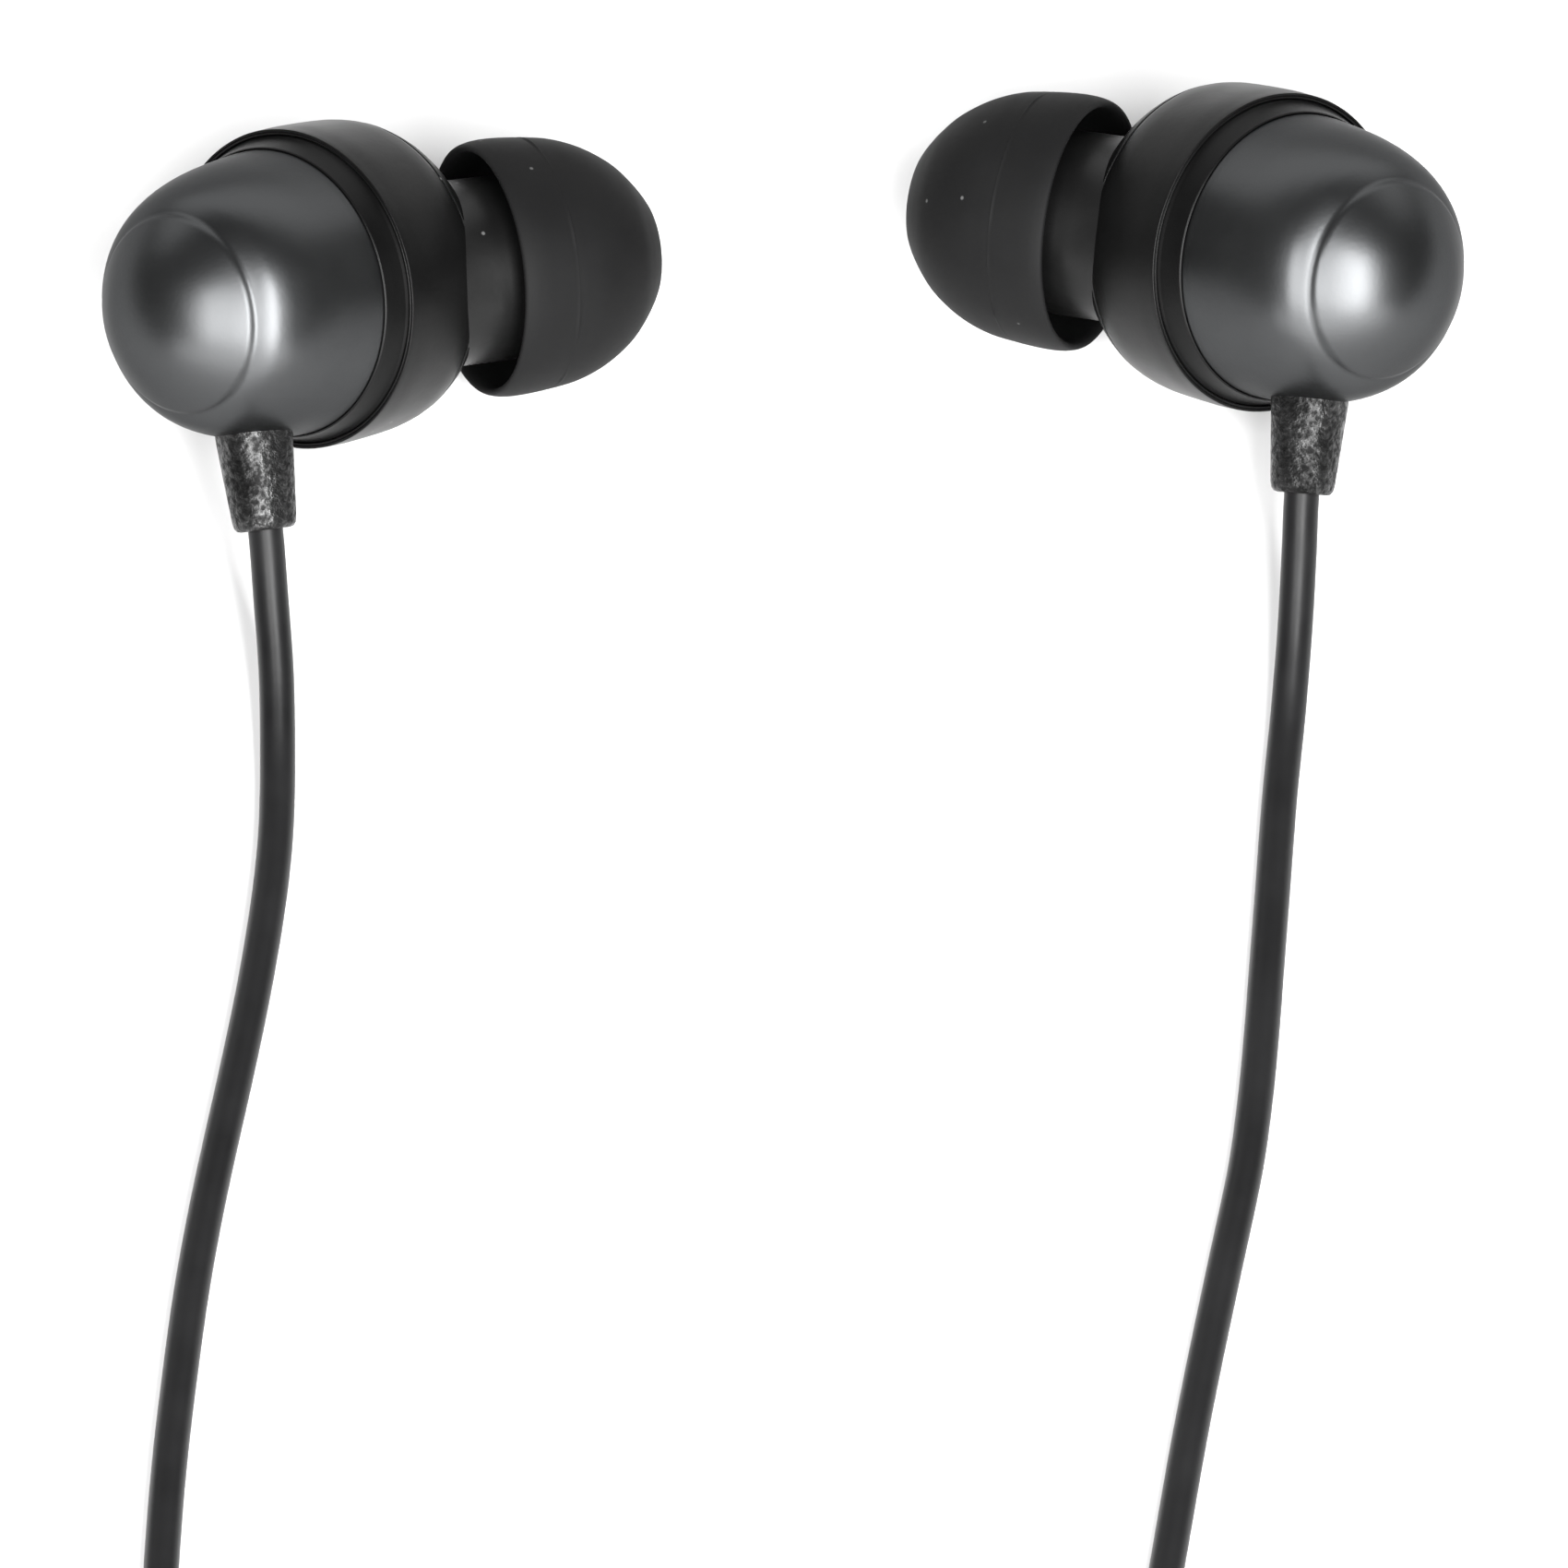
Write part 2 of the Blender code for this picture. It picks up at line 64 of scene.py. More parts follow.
# ---------------------------------------------------------------- camera
CAMERA_ELEVATION = 60  # degrees above the horizon
CAMERA_DISTANCE = 3.0  # metres
CAMERA_NEAR, CAMERA_FAR = 0.1, 40  # metres
SENSOR = 36.0
VIEW_WIDTH = 75.12
VIEW_CENTRE = Vector((0.035, -21.975, 0.0))


def look_at(obj, target):
    obj.rotation_mode = "QUATERNION"
    obj.rotation_quaternion = (Vector(target) - obj.location).to_track_quat("-Z", "Y")


def make_camera():
    data = bpy.data.cameras.new("camera")
    data.sensor_width = SENSOR
    data.lens = SENSOR * CAMERA_DISTANCE / (VIEW_WIDTH * MM)
    data.clip_start = CAMERA_NEAR
    data.clip_end = CAMERA_FAR
    camera = bpy.data.objects.new("camera", data)
    scene.collection.objects.link(camera)
    rise = radians(CAMERA_ELEVATION)
    target = VIEW_CENTRE * MM
    camera.location = target + CAMERA_DISTANCE * Vector((0, -cos(rise), sin(rise)))
    look_at(camera, target)
    scene.camera = camera


# ---------------------------------------------------------------- places taken from the frame
# Stations lie along an earpiece's axis, from the lip of its housing towards the ear
MAGNET_STATION = -0.25
RELIEF_STATION = {"left": -3.9, "right": -3.4}
RELIEF_AZIMUTH = {"left": -82.0, "right": -85.7}  # degrees
RELIEF_DROP = 29.9  # degrees
RIGHT_ROLL = -1.2  # degrees
ROLL_AXIS = (0.0, -0.5, 0.866)
NOZZLE_OFFSET = {"left": Vector((0.05, -0.463, 0.36)), "right": Vector((0.0, -0.175, 0.3))}


def middle(node):
    low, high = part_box(node)
    return (Vector(low) + Vector(high)) / 2


def axis_frame(origin, axis, towards):
    """A matrix whose Z is the axis and whose X leans towards the given direction."""
    across = (towards - axis * towards.dot(axis)).normalized()
    matrix = Matrix((across, axis.cross(across), axis)).transposed().to_4x4()
    matrix.translation = origin
    return matrix


def relief_axis(side):
    """The strain relief's direction; the right earpiece is mirrored and lies rolled a little further."""
    azimuth, drop = radians(RELIEF_AZIMUTH[side]), radians(RELIEF_DROP)
    axis = Vector((cos(drop) * cos(azimuth), cos(drop) * sin(azimuth), -sin(drop)))
    if side == "right":
        axis.x = -axis.x
        axis.rotate(Quaternion(ROLL_AXIS, radians(RIGHT_ROLL)))
    return axis


def earpiece_places(side):
    """Where the body, the nozzle and the strain relief of one earpiece lie and point."""
    body = joint_axis[f"{side}_cone_travel"]
    nozzle = joint_axis[f"{side}_tip_pull"]
    relief = relief_axis(side)
    lip = middle(f"{side}_driver_magnet") - MAGNET_STATION * MM * body
    relief_origin = lip + RELIEF_STATION[side] * MM * body
    return {
        "body": axis_frame(lip, body, relief),
        "nozzle": axis_frame(lip + NOZZLE_OFFSET[side] * MM, nozzle, relief),
        "relief": axis_frame(relief_origin, relief, body),
    }


places = {side: earpiece_places(side) for side in SIDES}


# ---------------------------------------------------------------- cords
CORD_R = 0.85
MAIN_R = 1.1
RELIEF_END = 11.05  # the strain relief's tip, along its own axis
SOCKET = 1.6  # how deep the cord sits in the strain relief
CURVE_SEGMENT = 5  # faces along the cord from one point of its route to the next
ROUND_SEGMENT = 7  # bevel resolution round the cord
OPEN_STEP, RUN_STEP, MAIN_STEP = 2.6, 2.0, 3.0  # spacing of the points along each kind of stretch
CORD_ROUTES = {
    "left": [(-24.56, -13.9, 4.04), (-24.3, -17.1, 2.5), (-24.22, -21.1, 1.23), (-24.3, -25.3, 0.87),
             (-24.7, -29.6, 0.87), (-25.45, -34.7, 0.87), (-26.38, -39.8, 0.87), (-27.34, -44.9, 0.87),
             (-28.15, -50.0, 0.87), (-28.75, -55.1, 0.87), (-29.24, -60.2, 0.87), (-29.6, -66.1, 0.87),
             (-29.76, -72.1, 0.98), (-29.78, -77.1, 1.35)],
    "right": [(24.72, -11.7, 4.06), (24.52, -14.9, 2.52), (24.18, -18.9, 1.23), (23.78, -23.1, 0.87),
              (23.43, -28.1, 0.87), (23.08, -33.1, 0.87), (22.7, -38.2, 0.87), (22.12, -43.3, 0.87),
              (21.18, -48.4, 0.87), (20.22, -53.5, 0.87), (19.32, -58.6, 0.87), (18.22, -65.6, 0.87),
              (17.18, -72.1, 0.98), (16.64, -77.1, 1.35)],
}
LIFT = 0.58  # height of a coil's underside
SPLITTER_X, SPLITTER_TOP = -6.575, -102.0
# Stretches by the fittings; x and y are measured from the splitter's top or the plug's shoulder
BRANCH_RUN = [(-6.6, 8.1, 3.3), (-3.9, 7.5, 2.5), (-2.2, 5.3, 1.85), (-1.68, 2.8, 1.7), (-1.6, 0.0, 1.7),
              (-1.6, -1.55, 1.7)]
MAIN_RUN = [(0.0, -11.45, 1.7), (0.0, -14.5, 1.6), (0.0, -17.6, 1.55), (0.0, -20.7, 1.55)]
PLUG_X, PLUG_SHOULDER = 23.925, -92.0
PLUG_RUN = [(0.0, -30.8, 4.9), (0.0, -28.4, 3.87), (0.0, -26.0, 3.36), (0.0, -24.45, 3.32)]
# Where each successive turn lies in the bundle, in lanes outwards from its middle and up from its foot
BRANCH_LANES = [(0.5, 0), (-0.5, 0), (-0.5, 1), (0.5, 1), (0.5, 2)]
MAIN_LANES = [(1, 0), (0, 0), (-1, 0), (-1, 1), (-1, 2), (-1, 3),
              (0, 3), (0, 2), (0, 1), (1, 1), (1, 2), (1, 3)]
# lane: spacing of the turns; turn: 1 or -1 for the way round; enter, leave and shift in degrees
COILS = {
    "left": {"centre": (-19.9, -84.0), "radius": 9.0, "lane": 1.75, "cord": CORD_R, "lanes": BRANCH_LANES,
             "turn": 1, "enter": 180, "leave": 270, "shift": 40},
    "right": {"centre": (6.75, -84.0), "radius": 9.0, "lane": 1.75, "cord": CORD_R, "lanes": BRANCH_LANES,
              "turn": -1, "enter": 180, "leave": 270, "shift": 40},
    "main": {"centre": (8.675, -132.0), "radius": 13.0, "lane": 2.25, "cord": MAIN_R, "lanes": MAIN_LANES,
             "turn": 1, "enter": 180, "leave": 360, "shift": 31},
}
POINTS_PER_TURN = 20
SHIFT_GAP = 5  # degrees between a coil's way out and the place where its turns change lane


def smooth_route(points, step):
    """Points about a step apart on one smooth curve through the given points."""
    route = [Vector(p) for p in points]
    ends = [2 * route[0] - route[1], *route, 2 * route[-1] - route[-2]]
    result = [route[0]]
    for before, start, end, after in zip(ends, ends[1:], ends[2:], ends[3:]):
        count = max(1, round((end - start).length / step))
        for i in range(1, count + 1):
            t = i / count
            result.append(0.5 * (2 * start + (end - before) * t
                                 + (2 * before - 5 * start + 4 * end - after) * t ** 2
                                 + (3 * start - before - 3 * end + after) * t ** 3))
    return result


def coil_points(coil):
    """Points round a wound coil; each turn shifts to the next lane as it closes."""
    lanes, shift = coil["lanes"], coil["shift"]
    last = len(lanes) - 1
    first_shift = coil["leave"] + SHIFT_GAP
    starts = [first_shift + (last - 1 - i) * shift + 360 * i for i in range(last)]
    base = starts[0] - coil["enter"]
    while base >= 360:
        starts = [start - 360 for start in starts]
        base -= 360
    end = coil["leave"] + 360 * last
    while end < starts[-1] + shift:
        end += 360
    while end - 360 > starts[-1] + shift:
        end -= 360
    steps = round((end - coil["enter"]) * POINTS_PER_TURN / 360)
    points = []
    for i in range(steps + 1):
        angle = coil["enter"] + (end - coil["enter"]) * i / steps
        done = [min(1.0, max(0.0, (angle - start) / shift)) for start in starts]
        place = sum(0.5 - 0.5 * cos(pi * t) for t in done)
        index = min(int(place), last)
        part = place - index
        here, there = Vector(lanes[index]), Vector(lanes[min(index + 1, last)])
        across, up = here.lerp(there, part)
        radius = coil["radius"] + across * coil["lane"]
        around = radians(angle)
        x = coil["centre"][0] + coil["turn"] * radius * cos(around)
        points.append(Vector((x, coil["centre"][1] + radius * sin(around),
                              LIFT + coil["cord"] + up * coil["lane"])))
    return points


def cord_curve(name, route, radius, material):
    data = bpy.data.curves.new(name, "CURVE")
    data.dimensions = "3D"
    data.bevel_depth = radius * MM
    data.bevel_resolution = ROUND_SEGMENT
    data.use_fill_caps = True
    data.resolution_u = CURVE_SEGMENT
    spline = data.splines.new("BEZIER")
    spline.bezier_points.add(len(route) - 1)
    for point, co in zip(spline.bezier_points, route):
        point.co = co * MM
        point.handle_left_type = point.handle_right_type = "AUTO"
    data.materials.append(material)
    obj = bpy.data.objects.new(name, data)
    root.objects.link(obj)
    return obj


def make_branch_cord(side, material):
    """From the strain relief over the surface to the coil, round it and on to the splitter."""
    flip = 1 if side == "left" else -1
    matrix = places[side]["relief"]
    start = matrix @ Vector((0, 0, (RELIEF_END - SOCKET) * MM)) / MM
    leave = matrix @ Vector((0, 0, RELIEF_END * MM)) / MM
    open_route = [start, leave] + [Vector(p) for p in CORD_ROUTES[side]]
    splitter = Vector((SPLITTER_X, SPLITTER_TOP, 0))
    out = [splitter + Vector((flip * x, y, z)) for x, y, z in BRANCH_RUN]
    route = smooth_route(open_route, OPEN_STEP) + coil_points(COILS[side]) + smooth_route(out, RUN_STEP)
    cable = cord_curve(f"{side}_cable", route, CORD_R, material)
    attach(cable, "earphones")
    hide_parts(f"{side}_cord", f"{side}_cord_coil", f"{side}_cord_run")


def make_main_cord(material):
    """From the splitter to the coil, round it and up to the plug."""
    splitter = Vector((SPLITTER_X, SPLITTER_TOP, 0))
    enter = [splitter + Vector(p) for p in MAIN_RUN]
    out = [Vector((PLUG_X + x, PLUG_SHOULDER + y, z)) for x, y, z in PLUG_RUN]
    route = smooth_route(enter, MAIN_STEP) + coil_points(COILS["main"]) + smooth_route(out, RUN_STEP)
    cable = cord_curve("main_cable", route, MAIN_R, material)
    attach(cable, "earphones")
    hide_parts("main_cord_run", "main_cord_coil", "main_cord_end")


# ---------------------------------------------------------------- materials
# Scales of noise are in cycles per metre
MOULDED_CLOUD = 220
METAL_CLOUD = 160
RUBBER_GRAIN, RUBBER_PATCH, RUBBER_PORES = 3000, 700, 6000
DUST_CELLS = 470
SPECK_CORE, SPECK_EDGE = 0.03, 0.055  # of a cell
DUST_GREY = 0.06


def shader_of(material):
    return material.node_tree.nodes["Principled BSDF"]


def new_material(name, roughness, metallic=0.0, specular=0.5):
    material = bpy.data.materials.new(name)
    material.use_nodes = True
    shader = shader_of(material)
    shader.inputs["Roughness"].default_value = roughness
    shader.inputs["Metallic"].default_value = metallic
    shader.inputs["Specular IOR Level"].default_value = specular
    return material


def noise(material, scale, detail=3.0, roughness=0.5, stretch=None):
    """Noise in object space, in cycles per metre; stretch scales each axis."""
    tree = material.node_tree
    place = tree.nodes.new("ShaderNodeTexCoord")
    result = tree.nodes.new("ShaderNodeTexNoise")
    result.inputs["Scale"].default_value = scale
    result.inputs["Detail"].default_value = detail
    result.inputs["Roughness"].default_value = roughness
    if stretch:
        mapping = tree.nodes.new("ShaderNodeMapping")
        mapping.inputs["Scale"].default_value = stretch
        tree.links.new(place.outputs["Object"], mapping.inputs["Vector"])
        tree.links.new(mapping.outputs["Vector"], result.inputs["Vector"])
    else:
        tree.links.new(place.outputs["Object"], result.inputs["Vector"])
    return result.outputs["Fac"]


def ramp(material, value, stops):
    """A colour ramp over a value: (position, colour) stops."""
    node = material.node_tree.nodes.new("ShaderNodeValToRGB")
    elements = node.color_ramp.elements
    while len(elements) < len(stops):
        elements.new(0.5)
    for element, (position, colour) in zip(elements, stops):
        element.position = position
        element.color = (*colour, 1.0)
    material.node_tree.links.new(value, node.inputs["Fac"])
    return node.outputs["Color"]


def remap(material, value, low, high, start=0.3, end=0.7):
    """A value between start and end, spread over low to high."""
    node = material.node_tree.nodes.new("ShaderNodeMapRange")
    node.inputs["From Min"].default_value = start
    node.inputs["From Max"].default_value = end
    node.inputs["To Min"].default_value = low
    node.inputs["To Max"].default_value = high
    material.node_tree.links.new(value, node.inputs["Value"])
    return node.outputs["Result"]


def bump(material, layers):
    """Stacked bumps: (height value, strength, distance in metres)."""
    tree = material.node_tree
    normal = None
    for value, strength, distance in layers:
        node = tree.nodes.new("ShaderNodeBump")
        node.inputs["Strength"].default_value = strength
        node.inputs["Distance"].default_value = distance
        tree.links.new(value, node.inputs["Height"])
        if normal:
            tree.links.new(normal, node.inputs["Normal"])
        normal = node.outputs["Normal"]
    tree.links.new(normal, shader_of(material).inputs["Normal"])


def feed(material, socket, value):
    material.node_tree.links.new(value, shader_of(material).inputs[socket])


def moulded(name, dark, light, roughness, specular, grain=3500, grain_depth=0.00001, spread=0.05):
    """A moulded plastic, rubber or foam: cloudy between two greys, with fine grain and uneven gloss."""
    material = new_material(name, roughness, specular=specular)
    cloud = noise(material, MOULDED_CLOUD, 4)
    fine = noise(material, grain, 3)
    feed(material, "Base Color", ramp(material, cloud, [(0.3, dark), (0.7, light)]))
    feed(material, "Roughness", remap(material, cloud, roughness - spread, roughness + spread))
    bump(material, [(fine, 0.35, grain_depth)])
    return material


def metal_like(name, dark, light, roughness, grain=4000, grain_depth=0.000003, edge=1.0):
    """A satin metal: cloudy between two colours, with fine grain; edge is its tint at grazing angles."""
    material = new_material(name, roughness, metallic=1.0)
    shader_of(material).inputs["Specular Tint"].default_value = (edge, edge, edge, 1)
    cloud = noise(material, METAL_CLOUD, 4)
    feed(material, "Base Color", ramp(material, cloud, [(0.3, dark), (0.7, light)]))
    feed(material, "Roughness", remap(material, cloud, roughness - 0.03, roughness + 0.03))
    bump(material, [(noise(material, grain, 2), 0.3, grain_depth)])
    return material


def rough_rubber():
    """Coarse moulded rubber: dark and matt, with glittering grain in patches that run lengthwise."""
    material = new_material("relief_rubber", 0.4)
    grain = noise(material, RUBBER_GRAIN, 4, 0.6)
    patch = noise(material, RUBBER_PATCH, 2, stretch=(1.0, 0.35, 0.35))
    feed(material, "Base Color", ramp(material, patch, [(0.42, (0.002,) * 3), (0.62, (0.0035,) * 3)]))
    feed(material, "Roughness", remap(material, grain, 0.45, 0.3, 0.4, 0.6))
    product = material.node_tree.nodes.new("ShaderNodeMath")
    product.operation = "MULTIPLY"
    material.node_tree.links.new(remap(material, grain, 0.08, 0.44, 0.42, 0.65), product.inputs[0])
    material.node_tree.links.new(remap(material, patch, 0.45, 1.2, 0.42, 0.58), product.inputs[1])
    feed(material, "Specular IOR Level", product.outputs[0])
    bump(material, [(grain, 0.8, 0.0001), (noise(material, RUBBER_PORES, 2), 0.5, 0.00003)])
    return material


def add_dust(material):
    """A few specks of pale dust over a material."""
    tree = material.node_tree
    place = tree.nodes.new("ShaderNodeTexCoord")
    cells = tree.nodes.new("ShaderNodeTexVoronoi")
    cells.inputs["Scale"].default_value = DUST_CELLS
    tree.links.new(place.outputs["Object"], cells.inputs["Vector"])
    mask = remap(material, cells.outputs["Distance"], 1.0, 0.0, SPECK_CORE, SPECK_EDGE)
    mix = tree.nodes.new("ShaderNodeMix")
    mix.data_type = "RGBA"
    base = shader_of(material).inputs["Base Color"]
    tree.links.new(mask, mix.inputs["Factor"])
    tree.links.new(base.links[0].from_socket, mix.inputs["A"])
    mix.inputs["B"].default_value = (DUST_GREY, DUST_GREY, DUST_GREY, 1)
    tree.links.new(mix.outputs["Result"], base)


def make_materials():
    """Every material by its look: two linear colours, then roughness and, if moulded, specular."""
    m = {}
    m["shell"] = metal_like("gunmetal_satin", (0.048, 0.0492, 0.0505), (0.0555, 0.0568, 0.058), 0.37,
                            grain=5200, grain_depth=0.000012, edge=0.5)
    m["housing"] = moulded("housing_black", (0.0014, 0.0014, 0.0014), (0.0024, 0.0024, 0.0024), 0.4, 0.12)
    m["bezel"] = moulded("bezel_black", (0.001, 0.001, 0.001), (0.002, 0.002, 0.002), 0.4, 0.1)
    m["neck"] = moulded("neck_black", (0.002, 0.002, 0.002), (0.0035, 0.0035, 0.0035), 0.38, 0.18)
    m["tip"] = moulded("tip_silicone", (0.0042, 0.0042, 0.0043), (0.0056, 0.0056, 0.0057), 0.62, 0.06)
    m["relief"] = rough_rubber()
    for key in ("housing", "neck", "tip"):
        add_dust(m[key])
    m["cable"] = moulded("cable_jacket", (0.0034, 0.0034, 0.0036), (0.0055, 0.0055, 0.0058), 0.42, 0.18,
                         grain=2600)
    m["grip"] = moulded("plug_black", (0.0035, 0.0035, 0.0036), (0.005, 0.005, 0.0051), 0.4, 0.2)
    m["tie"] = moulded("tie_black", (0.004, 0.004, 0.004), (0.006, 0.006, 0.006), 0.5, 0.15)
    m["foam"] = moulded("foam_grey", (0.02, 0.02, 0.02), (0.07, 0.07, 0.07), 0.95, 0.2,
                        grain=1500, grain_depth=0.0001, spread=0.03)
    m["board"] = moulded("board_green", (0.012, 0.09, 0.035), (0.02, 0.14, 0.06), 0.45, 0.5,
                         grain=1200, grain_depth=0.00002)
    m["film"] = moulded("diaphragm_film", (0.5, 0.52, 0.5), (0.62, 0.64, 0.6), 0.3, 0.5,
                        grain=900, grain_depth=0.00002)
    m["steel"] = metal_like("steel_plain", (0.42, 0.42, 0.42), (0.55, 0.55, 0.54), 0.33)
    m["copper"] = metal_like("copper_enamel", (0.5, 0.2, 0.09), (0.66, 0.3, 0.15), 0.32)
    m["gold"] = metal_like("gold_plate", (0.72, 0.48, 0.16), (0.82, 0.58, 0.24), 0.22)
    return m


# ---------------------------------------------------------------- fine pieces
FACETS = 144  # faces round an earpiece
PLUG_FACETS = 96
FILLET_STEPS = 5
ON_AXIS = 1e-6


def fillet(points):
    """Rounds a profile's corners: each point is (radius, height), with a corner radius where it is round."""
    flat = [Vector(p[:2]) for p in points]
    result = []
    for i, point in enumerate(points):
        corner = flat[i]
        size = point[2] if len(point) > 2 else 0
        if not size or i in (0, len(points) - 1):
            result.append(corner)
            continue
        back, ahead = flat[i - 1] - corner, flat[i + 1] - corner
        half = back.angle(ahead) / 2
        reach = min(size / tan(half), 0.45 * back.length, 0.45 * ahead.length)
        start, end = corner + back.normalized() * reach, corner + ahead.normalized() * reach
        for k in range(FILLET_STEPS + 1):
            u = k / FILLET_STEPS
            result.append((1 - u) ** 2 * start + 2 * u * (1 - u) * corner + u ** 2 * end)
    return result


def flow(points, step):
    """A smooth profile through the given points."""
    return [Vector((max(0.0, p[0]), p[1])) for p in smooth_route(points, step)]


def swept(start, turns, step):
    """A profile from a starting point, by the slope in degrees at each distance along it."""
    point, result = Vector(start), [Vector(start)]
    for (first, low), (last, high) in zip(turns, turns[1:]):
        count = max(1, round((last - first) / step))
        for i in range(count):
            slope = radians(low + (high - low) * (i + 0.5) / count)
            point = point + Vector((cos(slope), sin(slope))) * (last - first) / count
            result.append(point)
    return result


def lathe(name, profile, matrix, material, sides=FACETS, sharp=38):
    """A turned piece, its (radius, height) points run down the outside; a ring if it starts off the axis."""
    circle = [(cos(2 * pi * i / sides), sin(2 * pi * i / sides)) for i in range(sides)]
    verts, rows = [], []
    for radius, height in profile:
        if radius < ON_AXIS:
            rows.append([len(verts)])
            verts.append((0, 0, height * MM))
        else:
            rows.append(range(len(verts), len(verts) + sides))
            verts += [(radius * MM * x, radius * MM * y, height * MM) for x, y in circle]
    if profile[0][0] > ON_AXIS:
        rows.append(rows[0])
    faces = []
    for upper, lower in zip(rows, rows[1:]):
        for i in range(sides):
            j = (i + 1) % sides
            if len(upper) == 1:
                faces.append((upper[0], lower[i], lower[j]))
            elif len(lower) == 1:
                faces.append((upper[i], lower[0], upper[j]))
            else:
                faces.append((upper[i], lower[i], lower[j], upper[j]))
    mesh = bpy.data.meshes.new(name)
    mesh.from_pydata(verts, [], faces)
    return finish_piece(name, mesh, matrix, material, sharp)


def finish_piece(name, mesh, matrix, material, sharp=38):
    """Moves a mesh to its place, smooths it up to the sharp angle in degrees and links it as a piece."""
    mesh.transform(matrix)
    mesh.update()
    mesh.shade_smooth()
    mesh.set_sharp_from_angle(angle=radians(sharp))
    mesh.materials.append(material)
    obj = bpy.data.objects.new(name, mesh)
    root.objects.link(obj)
    return obj


def wobble(obj, amount, size, seed):
    """Moves points by a little smooth noise, as soft or moulded pieces are never perfect."""
    for vertex in obj.data.vertices:
        at = vertex.co / (size * MM) + Vector((seed, 0, 0))
        vertex.co += solid_noise.noise_vector(at) * amount * MM
    obj.data.update()


def stands_for(obj, node, body="earphones"):
    """Puts a fine piece in place of a CAD node."""
    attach(obj, body)
    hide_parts(node)


SHELL_END, SHELL_MOUTH = -10.72, 0.4


def make_shell(side):
    """The metal cup, whose end dome meets its shoulder in a soft crease, and the ring round its mouth."""
    step = 0.05
    dome_turns = [(0, 0), (1.25, 13.5), (2.5, 26.5), (3.67, 36.5), (4.73, 42), (5.25, 44), (5.55, 66)]
    barrel_turns = [(0, 66), (0.3, 38), (0.42, 41), (0.95, 49), (1.45, 59), (2.2, 68), (3.4, 76.1),
                    (5.1, 83.5), (7.2, 86)]
    dome = swept((0, SHELL_END), dome_turns, step)
    barrel = swept(dome[-1], barrel_turns, step)
    inside = [(0, -9.95), (2.0, -9.7), (3.3, -9.05), (4.15, -8.2), (5.0, -7.2), (5.5, -6.2), (5.85, -5.0),
              (6.1, -3.3), (6.2, -1.2), (6.2, SHELL_MOUTH)]
    rim = [(6.6, SHELL_MOUTH), (6.935, SHELL_MOUTH)]
    profile = inside + rim + barrel[::-1] + dome[-2::-1]
    shell = lathe(f"{side}_shell", profile, places[side]["body"], materials["shell"], sharp=50)
    stands_for(shell, f"{side}_rear_shell")
    bezel = fillet([(7.4, 0.45), (7.44, 0.05, 0.05), (7.36, -0.1, 0.06), (7.2, -0.55), (7.05, -1.12, 0.05),
                    (6.97, -1.2, 0.03), (6.96, 0.45)])
    ring = lathe(f"{side}_bezel", bezel, places[side]["body"], materials["bezel"])
    stands_for(ring, f"{side}_bezel_ring")


def make_housing(side):
    """The black front half: a rounded front, a fine groove, a side wall and a beaded lip."""
    front = flow([(0, 7.55), (2.4, 7.54), (4.3, 7.44), (5.5, 7.14), (6.35, 6.6), (6.98, 5.9), (7.28, 5.4),
                  (7.4, 5.13)], 0.2)
    groove = [(7.4, 5.06), (7.35, 5.03), (7.34, 4.99), (7.4, 4.95), (7.46, 4.9)]
    side_wall = flow([(7.52, 4.7), (7.64, 4.0), (7.72, 2.7), (7.77, 1.3), (7.76, 0.4)], 0.3)
    lip = fillet([(7.76, 0.3), (7.75, 0.0, 0.07), (7.64, -0.01, 0.03), (7.61, 0.06, 0.02),
                  (7.57, -0.01, 0.03), (7.48, 0.0, 0.05), (7.46, 0.5), (6.0, 0.5), (6.0, 2.0), (4.8, 2.0),
                  (4.8, 2.8), (0, 2.8)])
    housing = lathe(f"{side}_housing", front + groove + side_wall + lip, places[side]["body"],
                    materials["housing"])
    wobble(housing, amount=0.012, size=2.2, seed=3.0)
    stands_for(housing, f"{side}_front_housing")


NECK_MOUTH = 15.2


def make_neck(side):
    """The nozzle: a barbed tube on a thicker neck, with a seat for the screen inside its mouth."""
    barb = [(2.6, NECK_MOUTH), (2.8, NECK_MOUTH, 0.08), (3.15, NECK_MOUTH - 0.6, 0.1),
            (3.15, NECK_MOUTH - 1.0, 0.1), (2.95, NECK_MOUTH - 1.3), (2.95, 11.2, 0.1)]
    foot = [(4.2, 11.2, 0.1), (4.46, 10.9, 0.15), (4.47, 8.8), (4.5, 6.9), (4.55, 6.62), (4.62, 6.5),
            (4.66, 6.42, 0.02), (4.6, 6.38, 0.02), (4.74, 6.32, 0.04), (4.84, 6.22, 0.08), (4.95, 5.3)]
    bore = [(2.0, 5.2), (2.0, NECK_MOUTH - 0.35), (2.5, NECK_MOUTH - 0.35), (2.5, NECK_MOUTH - 0.05)]
    neck = lathe(f"{side}_neck", fillet(barb + foot + bore), places[side]["nozzle"], materials["neck"])
    wobble(neck, amount=0.015, size=1.6, seed=7.0)
    stands_for(neck, f"{side}_nozzle")


SCREEN_HEIGHT = 15.0
SCREEN_R = 2.44
WEAVE_PITCH = 0.26
WEAVE_LIFT = 0.045
WIRE_R = 0.05
WIRE_FACETS = 6
WIRE_STEP = 0.13
SHORTEST_WIRE = 0.3
WIRES_EACH_WAY = 9


